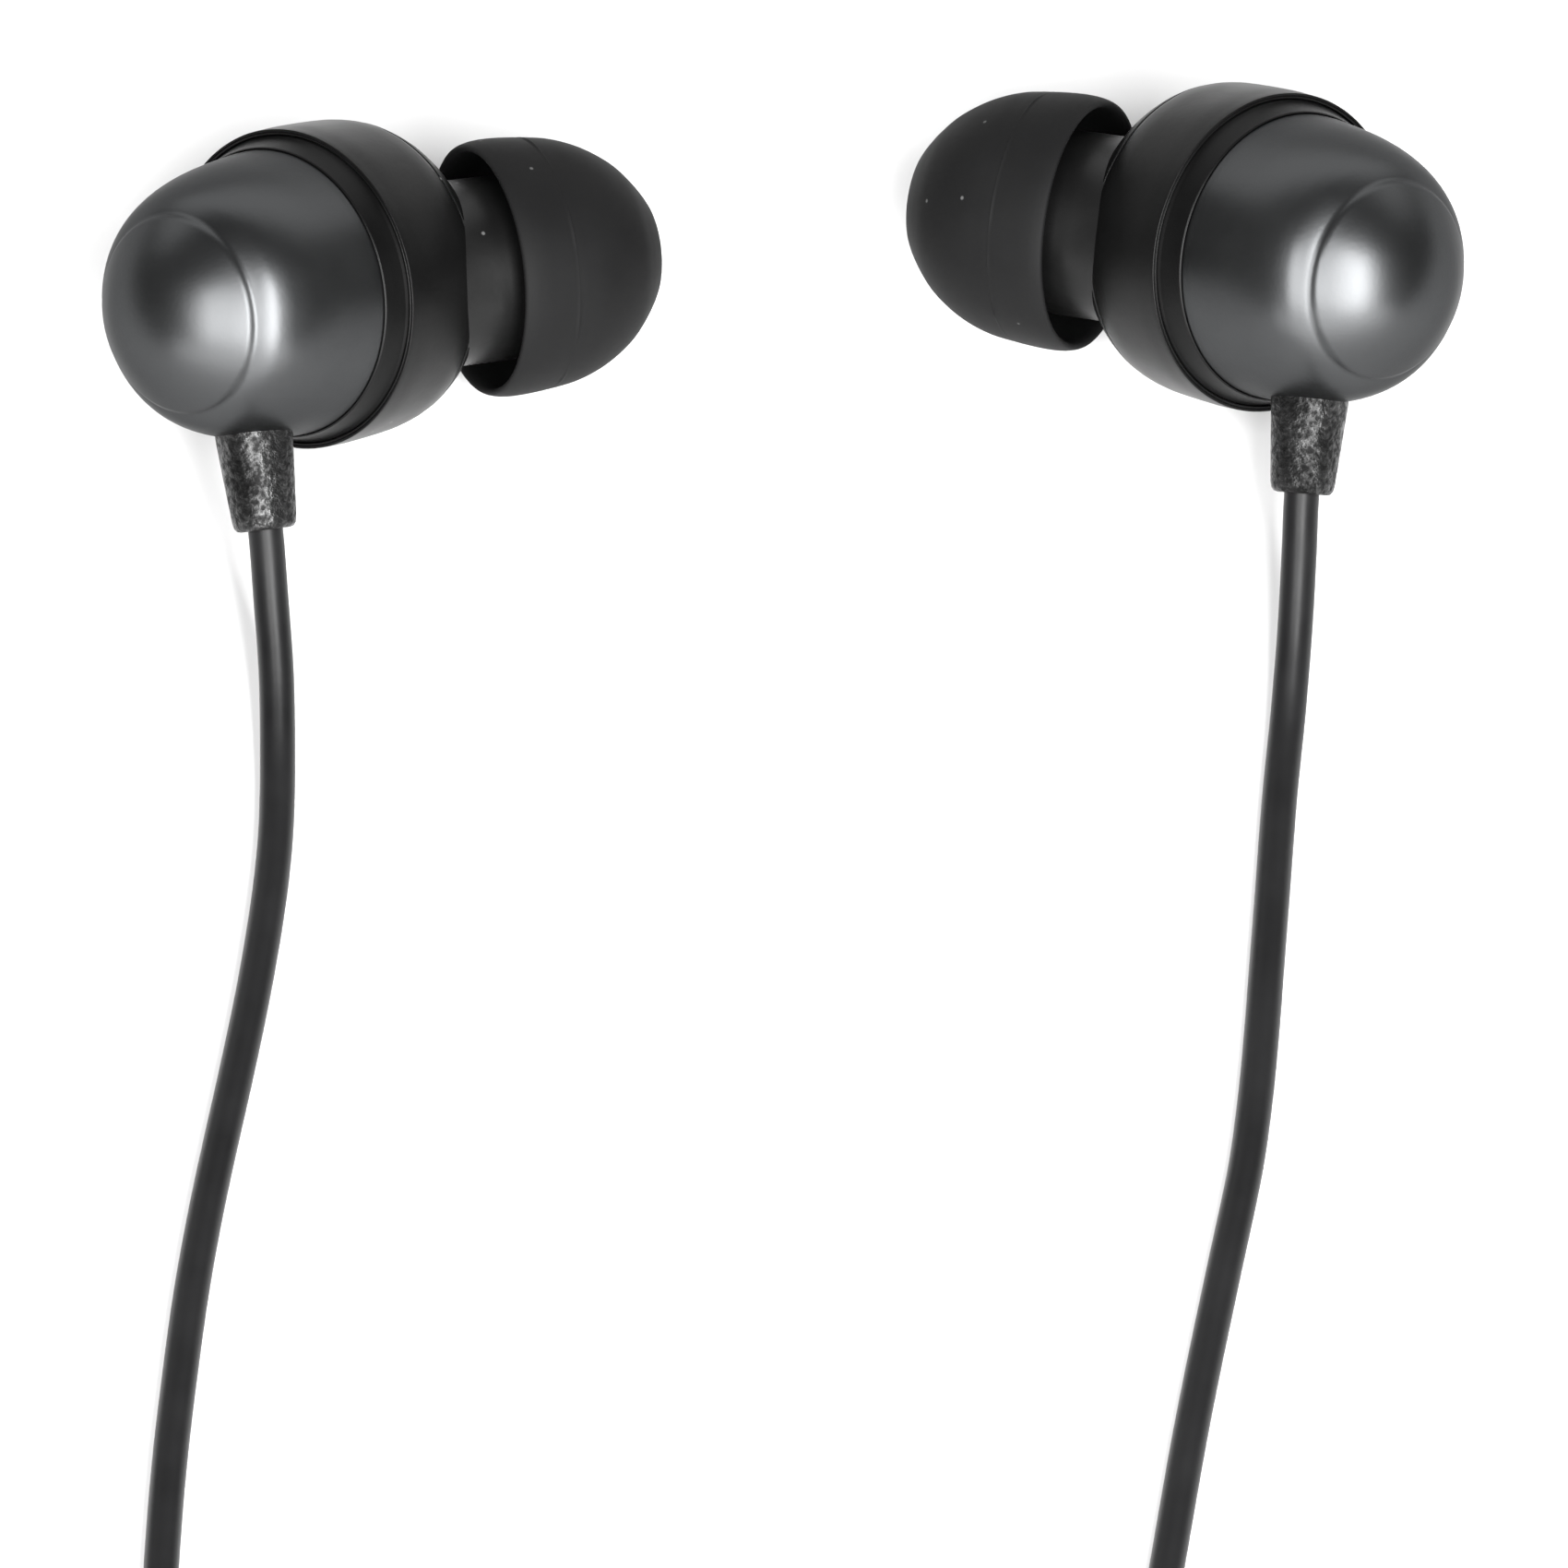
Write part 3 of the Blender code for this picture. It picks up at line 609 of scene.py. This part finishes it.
def add_wire(verts, faces, index, crossed):
    """One wire of the screen, over and under the wires that cross it."""
    offset = index * WEAVE_PITCH
    half = sqrt(max(0.0, SCREEN_R ** 2 - offset ** 2))
    if half < SHORTEST_WIRE:
        return
    steps = max(4, int(2 * half / WIRE_STEP))
    base = len(verts)
    for k in range(steps + 1):
        along = -half + 2 * half * k / steps
        lift = WEAVE_LIFT * cos(pi * along / WEAVE_PITCH + pi * (index + crossed))
        for s in range(WIRE_FACETS):
            a = 2 * pi * s / WIRE_FACETS
            across, up = offset + WIRE_R * cos(a), lift + WIRE_R * sin(a)
            point = (-across, along, up) if crossed else (along, across, up)
            verts.append(Vector(point) * MM)
    for k in range(steps):
        for s in range(WIRE_FACETS):
            a, b = base + k * WIRE_FACETS + s, base + k * WIRE_FACETS + (s + 1) % WIRE_FACETS
            faces.append((a, b, b + WIRE_FACETS, a + WIRE_FACETS))
    faces.append(tuple(base + s for s in reversed(range(WIRE_FACETS))))
    faces.append(tuple(base + steps * WIRE_FACETS + s for s in range(WIRE_FACETS)))


def make_screen(side):
    """The woven screen over the sound outlet."""
    place = places[side]["nozzle"] @ Matrix.Translation((0, 0, SCREEN_HEIGHT * MM))
    verts, faces = [], []
    for crossed in (0, 1):
        for index in range(-WIRES_EACH_WAY, WIRES_EACH_WAY + 1):
            add_wire(verts, faces, index, crossed)
    mesh = bpy.data.meshes.new(f"{side}_screen")
    mesh.from_pydata(verts, [], faces)
    screen = finish_piece(f"{side}_screen", mesh, place, materials["steel"])
    stands_for(screen, f"{side}_nozzle_mesh")


TIP_RIM = 9.63
MOULD_LINE = 2.8
MOULD_LINE_R = 6  # only the outside of the tip is wider than this there
MOULD_LINE_RISE = 0.09
TIP_SEED = {"left": 11.0, "right": 17.0}


def raise_mould_line(tip, place):
    """Lifts stretches of the ridge round the ear tip where the mould's halves met."""
    inverse = place.inverted()
    for vertex in tip.data.vertices:
        local = inverse @ vertex.co / MM
        if abs(local.z - TIP_RIM - MOULD_LINE) < 0.02 and local.xy.length > MOULD_LINE_R:
            rise = max(0.0, solid_noise.noise(local * 0.45 + Vector((0, 0, 9)))) * MOULD_LINE_RISE
            vertex.co += (place.to_3x3() @ Vector((*local.xy.normalized(), 0))) * rise * MM


def make_tip(side):
    """The silicone ear tip: a dome, a mould line and a thin skirt over the sleeve that grips the nozzle."""
    dome = flow([(2.76, 8.5), (3.2, 8.2), (3.85, 7.66), (4.52, 6.98), (5.14, 6.06), (5.58, 5.16),
                 (5.89, 4.2), (6.04, 3.3), (6.084, 2.86)], 0.15)
    ridge = [(6.088, 2.83), (6.099, MOULD_LINE), (6.094, 2.77)]
    skirt = flow([(6.12, 2.6), (6.18, 1.9), (6.21, 1.1), (6.17, 0.5), (6.08, 0.14)], 0.15)
    lip = [(6.03, 0.04), (5.94, 0.0), (5.82, 0.03), (5.74, 0.12)]
    inner = flow([(5.72, 0.5), (5.72, 1.2), (5.66, 2.2), (5.35, 3.9), (4.95, 5.0), (4.5, 5.5), (4.2, 5.2),
                  (4.15, 4.4), (4.15, 1.8)], 0.25)
    sleeve = [(4.1, 1.68), (4.0, 1.65), (3.25, 1.65), (3.25, 5.75), (2.3, 6.1), (2.3, 8.32), (2.36, 8.46),
              (2.5, 8.53)]
    profile = [(radius, TIP_RIM + height) for radius, height in dome + ridge + skirt + lip + inner + sleeve]
    tip = lathe(f"{side}_tip_skin", profile, places[side]["nozzle"], materials["tip"], sharp=60)
    wobble(tip, amount=0.03, size=4.5, seed=TIP_SEED[side])
    raise_mould_line(tip, places[side]["nozzle"])
    stands_for(tip, f"{side}_eartip", body=f"{side}_tip")


RELIEF_TURN = {"left": 20, "right": -20}  # degrees about its own axis
RELIEF_SQUARENESS = 2.3  # a superellipse's power: 2 is round
RELIEF_SCALE = 0.97  # of the half widths and depths below
RELIEF_FACETS = 96
# Height, half width and half depth down the outside, then up the cord's bore
RELIEF_STATIONS = [
    (5.9, 1.88, 1.88), (6.6, 1.86, 1.86), (7.6, 1.78, 1.78), (8.8, 1.69, 1.69), (9.9, 1.6, 1.6),
    (10.55, 1.55, 1.55), (10.85, 1.48, 1.48), (11.0, 1.36, 1.36), (11.05, 1.15, 1.2), (11.05, 0.9, 0.9),
    (10.8, 0.86, 0.86), (9.6, 0.86, 0.86),
]


def make_relief(side):
    """A tapered rubber grommet, a little squared outside and round at its bore, sunk in the shell."""
    count, rows = RELIEF_FACETS, len(RELIEF_STATIONS)
    verts, faces = [], []
    for height, wide, deep in RELIEF_STATIONS:
        blend = min(1.0, max(0.0, (wide - 0.9) / 0.3))
        power = 2 + (RELIEF_SQUARENESS - 2) * blend
        for i in range(count):
            a = 2 * pi * i / count
            c, s = cos(a), sin(a)
            reach = RELIEF_SCALE * (abs(c) ** power + abs(s) ** power) ** (-1 / power)
            verts.append(Vector((deep * reach * c, wide * reach * s, height)) * MM)
    for k in range(rows - 1):
        for i in range(count):
            j = (i + 1) % count
            faces.append((k * count + i, k * count + j, (k + 1) * count + j, (k + 1) * count + i))
    faces.append(tuple(reversed(range(count))))
    faces.append(tuple((rows - 1) * count + i for i in range(count)))
    mesh = bpy.data.meshes.new(f"{side}_grommet")
    mesh.from_pydata(verts, [], faces)
    place = places[side]["relief"] @ Matrix.Rotation(radians(RELIEF_TURN[side]), 4, "Z")
    grommet = finish_piece(f"{side}_grommet", mesh, place, materials["relief"], 60)
    stands_for(grommet, f"{side}_strain_relief")


# ---------------------------------------------------------------- ties, splitter and plug
TIE_THICKNESS = 0.35
TIE_WIDTH = 2.4
TIE_CLEARANCE = 0.2005
TIE_BEVEL = 0.1
TIE_ANGLE = {"left": 20, "right": 160, "main": 110}  # degrees round the coil
CORNER_STEPS = 8


def rounded_loop(width, height, corner):
    """Points round a rectangle with round corners, centred on the origin."""
    points = []
    for i, (right, up) in enumerate(((1, 1), (-1, 1), (-1, -1), (1, -1))):
        x, y = right * (width / 2 - corner), up * (height / 2 - corner)
        for k in range(CORNER_STEPS + 1):
            a = pi / 2 * (i + k / CORNER_STEPS)
            points.append((x + corner * cos(a), y + corner * sin(a)))
    return points


def make_tie(name):
    """A flat rubber band round the bundle, a little rounded at its edges."""
    coil = COILS[name]
    lanes_across = len({lane for lane, _ in coil["lanes"]})
    box_low, box_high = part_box(f"{name}_coil_tie")
    tall = (box_high[2] - box_low[2]) / MM
    bundle = (lanes_across - 1) * coil["lane"] + 2 * coil["cord"]
    wide = bundle + 2 * (TIE_THICKNESS + TIE_CLEARANCE)
    outer_corner = 0.75 * coil["cord"] + TIE_THICKNESS
    # How far out from the band's outside, and how far along its width, each edge lies
    section = ((-TIE_THICKNESS, -0.5), (-TIE_THICKNESS, 0.5), (-TIE_BEVEL, 0.5), (0, 0.46), (0, -0.46),
               (-TIE_BEVEL, -0.5))
    rows = []
    for grow, along in section:
        loop = rounded_loop(wide + 2 * grow, tall + 2 * grow, outer_corner + grow)
        rows.append([Vector((x, along * TIE_WIDTH, y)) * MM for x, y in loop])
    count = len(rows[0])
    faces = []
    for k in range(len(rows)):
        for i in range(count):
            j = (i + 1) % count
            a, b = k * count, (k + 1) % len(rows) * count
            faces.append((a + i, b + i, b + j, a + j))
    mesh = bpy.data.meshes.new(f"{name}_band")
    mesh.from_pydata([v for row in rows for v in row], [], faces)
    centre = Matrix.Translation(Vector((*coil["centre"], tall / 2)) * MM)
    turn = Matrix.Rotation(radians(TIE_ANGLE[name]), 4, "Z")
    place = centre @ turn @ Matrix.Translation((coil["radius"] * MM, 0, 0))
    band = finish_piece(f"{name}_band", mesh, place, materials["tie"], 60)
    outward(band)
    stands_for(band, f"{name}_coil_tie")


def outward(obj):
    """Turns a piece's faces outwards."""
    work = bmesh.new()
    work.from_mesh(obj.data)
    bmesh.ops.recalc_face_normals(work, faces=work.faces)
    work.to_mesh(obj.data)
    work.free()


SPLITTER_WIDTH, SPLITTER_HEIGHT = 7.4, 3.4
SPLITTER_CORNER = 0.46  # of the height
# Distance from the top, then the parts of the full width and height there
SPLITTER_STATIONS = [
    (0.0, 0.8, 0.8), (0.12, 0.93, 0.93), (0.45, 0.985, 0.99), (1.2, 1.0, 1.0), (5.0, 1.0, 1.0),
    (8.2, 0.88, 1.0), (10.6, 0.66, 0.99), (12.3, 0.57, 0.97), (12.75, 0.545, 0.92), (13.0, 0.46, 0.8),
]


def make_splitter():
    """A flat moulded block that narrows from the two branch cords to the main cord."""
    rows = []
    for down, wide, tall in SPLITTER_STATIONS:
        height = SPLITTER_HEIGHT * tall
        loop = rounded_loop(SPLITTER_WIDTH * wide, height, SPLITTER_CORNER * height)
        rows.append([Vector((x, -down, y)) * MM for x, y in loop])
    count = len(rows[0])
    faces = [tuple(range(count)), tuple(reversed(range((len(rows) - 1) * count, len(rows) * count)))]
    for k in range(len(rows) - 1):
        for i in range(count):
            j = (i + 1) % count
            faces.append((k * count + i, (k + 1) * count + i, (k + 1) * count + j, k * count + j))
    mesh = bpy.data.meshes.new("splitter_block")
    mesh.from_pydata([v for row in rows for v in row], [], faces)
    place = Matrix.Translation(Vector((SPLITTER_X, SPLITTER_TOP, SPLITTER_HEIGHT / 2)) * MM)
    block = finish_piece("splitter_block", mesh, place, materials["grip"], 35)
    outward(block)
    stands_for(block, "y_splitter")


PLUG_HEIGHT = 3.32
RIB_PITCH, RIB_DEPTH, RIB_TAPER, LAST_RIB = 1.25, 0.28, 0.085, -25.2


def flex_profile():
    """The bending part behind the plug's grip: a taper with a groove every RIB_PITCH."""
    profile = [(0, -16.3), (2.2, -16.3, 0.1)]
    station, radius = -16.9, 2.15
    while station > LAST_RIB:
        groove = radius - RIB_DEPTH
        profile += [(radius, station, 0.08), (groove, station - 0.12, 0.08), (groove, station - 0.4, 0.08),
                    (radius - 0.04, station - 0.52, 0.08)]
        station -= RIB_PITCH
        radius -= RIB_TAPER
    return profile + [(1.47, -25.7, 0.1), (1.4, -26.0, 0.1), (1.12, -26.0), (1.12, -24.4), (0, -24.4)]


# CAD node: name, look, slot and profile of its fine piece, heights from the shoulder towards the tip
PLUG_PIECES = {
    "plug_grip": ("plug_body", "grip", "black_plastic", [
        (0, -5), (1.78, -5), (1.78, 0, 0.05), (2.9, 0, 0.1), (3.3, -0.5, 0.25), (3.3, -2.2, 0.05),
        (3.15, -2.35, 0.05), (3.15, -2.75, 0.05), (3.3, -2.9, 0.05), (3.3, -3.5, 0.05), (3.15, -3.65, 0.05),
        (3.15, -4.05, 0.05), (3.3, -4.2, 0.05), (3.3, -12, 1.5), (2.9, -15.4, 0.3), (2.5, -16.0, 0.2),
        (0, -16.0)]),
    "plug_flex_relief": ("plug_flex", "grip", "black_rubber", flex_profile()),
    "plug_sleeve": ("plug_sleeve_contact", "gold", "gold_plate", [
        (0.6, 7.6), (1.75, 7.6, 0.06), (1.75, -4.9), (0.6, -4.9)]),
    "plug_rear_insulator": ("plug_rear_band", "grip", "black_plastic", [
        (0.5, 8.42), (1.7, 8.42), (1.7, 7.63), (0.5, 7.63)]),
    "plug_ring": ("plug_ring_contact", "gold", "gold_plate", [
        (0.5, 9.9), (1.75, 9.9, 0.06), (1.75, 8.45, 0.06), (0.5, 8.45)]),
    "plug_front_insulator": ("plug_front_band", "grip", "black_plastic", [
        (0.5, 10.72), (1.7, 10.72), (1.7, 9.93), (0.5, 9.93)]),
    "plug_tip": ("plug_tip_contact", "gold", "gold_plate", [
        (0, 14), (0.62, 13.9, 0.5), (1.3, 13.1, 0.8), (1.7, 12.15, 0.35), (1.28, 11.4, 0.5),
        (1.28, 11.05, 0.3), (1.66, 10.75, 0.05), (0.45, 10.75), (0.45, -4.8), (0, -4.8)]),
}


def make_plug():
    shoulder = Vector((PLUG_X, PLUG_SHOULDER, PLUG_HEIGHT)) * MM
    place = axis_frame(shoulder, Vector((0, 1, 0)), Vector((1, 0, 0)))
    for node, (name, look, slot, profile) in PLUG_PIECES.items():
        piece = lathe(name, fillet(profile), place, materials[look], PLUG_FACETS)
        stands_for(piece, node)


# ---------------------------------------------------------------- stage and light
WORLD_STRENGTH = 0.2
FLOOR_HALF = 1.5  # metres
FLOOR_CLOUD = 6
FLOOR_DARK, FLOOR_LIGHT = (0.54,) * 3, (0.56,) * 3
LIGHT_TARGET = Vector((0, -0.01, 0.005))  # metres
# Name, direction, distance, width and height in metres, power in watts
LIGHTS = [
    ("key", (0.27, -0.645, 0.715), 0.6, 0.2, 0.62, 14.0),
    ("fill", (-0.235, -0.646, 0.724), 0.6, 0.16, 0.55, 6.0),
    ("back", (0, 0.9, 0.45), 0.9, 2.0, 0.6, 8.0),
    ("front", (0, -1.0, 0.12), 0.8, 1.4, 0.3, 9.0),
]


def make_softbox(name, direction, distance, width, height, power):
    """A softbox that faces the earpieces and stands upright as the camera sees it."""
    data = bpy.data.lights.new(name, "AREA")
    data.shape = "RECTANGLE"
    data.size = width
    data.size_y = height
    data.energy = power
    light = bpy.data.objects.new(name, data)
    scene.collection.objects.link(light)
    away = Vector(direction).normalized()
    rise = radians(CAMERA_ELEVATION)
    upright = Vector((0, sin(rise), cos(rise)))
    tall = (upright - away * upright.dot(away)).normalized()
    turn = Matrix((tall.cross(away), tall, away)).transposed()
    light.matrix_world = Matrix.Translation(LIGHT_TARGET + away * distance) @ turn.to_4x4()


def make_stage():
    """A pale floor, an even world and the softboxes."""
    mesh = bpy.data.meshes.new("floor")
    corners = [(x * FLOOR_HALF, y * FLOOR_HALF, 0) for x, y in ((-1, -1), (1, -1), (1, 1), (-1, 1))]
    mesh.from_pydata(corners, [], [(0, 1, 2, 3)])
    floor = bpy.data.objects.new("floor", mesh)
    scene.collection.objects.link(floor)
    material = new_material("floor_white", 0.9, specular=0.1)
    cloud = noise(material, FLOOR_CLOUD, 2)
    feed(material, "Base Color", ramp(material, cloud, [(0.0, FLOOR_DARK), (1.0, FLOOR_LIGHT)]))
    mesh.materials.append(material)
    world = bpy.data.worlds.new("world")
    world.use_nodes = True
    world.node_tree.nodes["Background"].inputs["Color"].default_value = (1, 1, 1, 1)
    world.node_tree.nodes["Background"].inputs["Strength"].default_value = WORLD_STRENGTH
    scene.world = world
    for light in LIGHTS:
        make_softbox(*light)
    scene.view_settings.view_transform = "Standard"


# ---------------------------------------------------------------- assembly
# The enclosed pieces keep their CAD shapes
INNER_LOOKS = {
    "damping_foam": "foam", "cord_knot": "cable", "driver_frame": "housing", "driver_yoke": "steel",
    "driver_magnet": "steel", "pole_plate": "steel", "voice_coil": "copper", "diaphragm": "film",
    "driver_seal": "foam", "driver_cover": "steel", "terminal_board": "board", "lead_wires": "copper",
}
materials = make_materials()
make_camera()
for side in SIDES:
    for piece, look in INNER_LOOKS.items():
        data = nodes[f"{side}_{piece}"].data
        data.materials.clear()
        data.materials.append(materials[look])
for name in COILS:
    make_tie(name)
make_splitter()
make_plug()
for side in SIDES:
    make_branch_cord(side, materials["cable"])
make_main_cord(materials["cable"])
for side in SIDES:
    make_shell(side)
    make_housing(side)
    make_neck(side)
    make_screen(side)
    make_tip(side)
    make_relief(side)
make_stage()
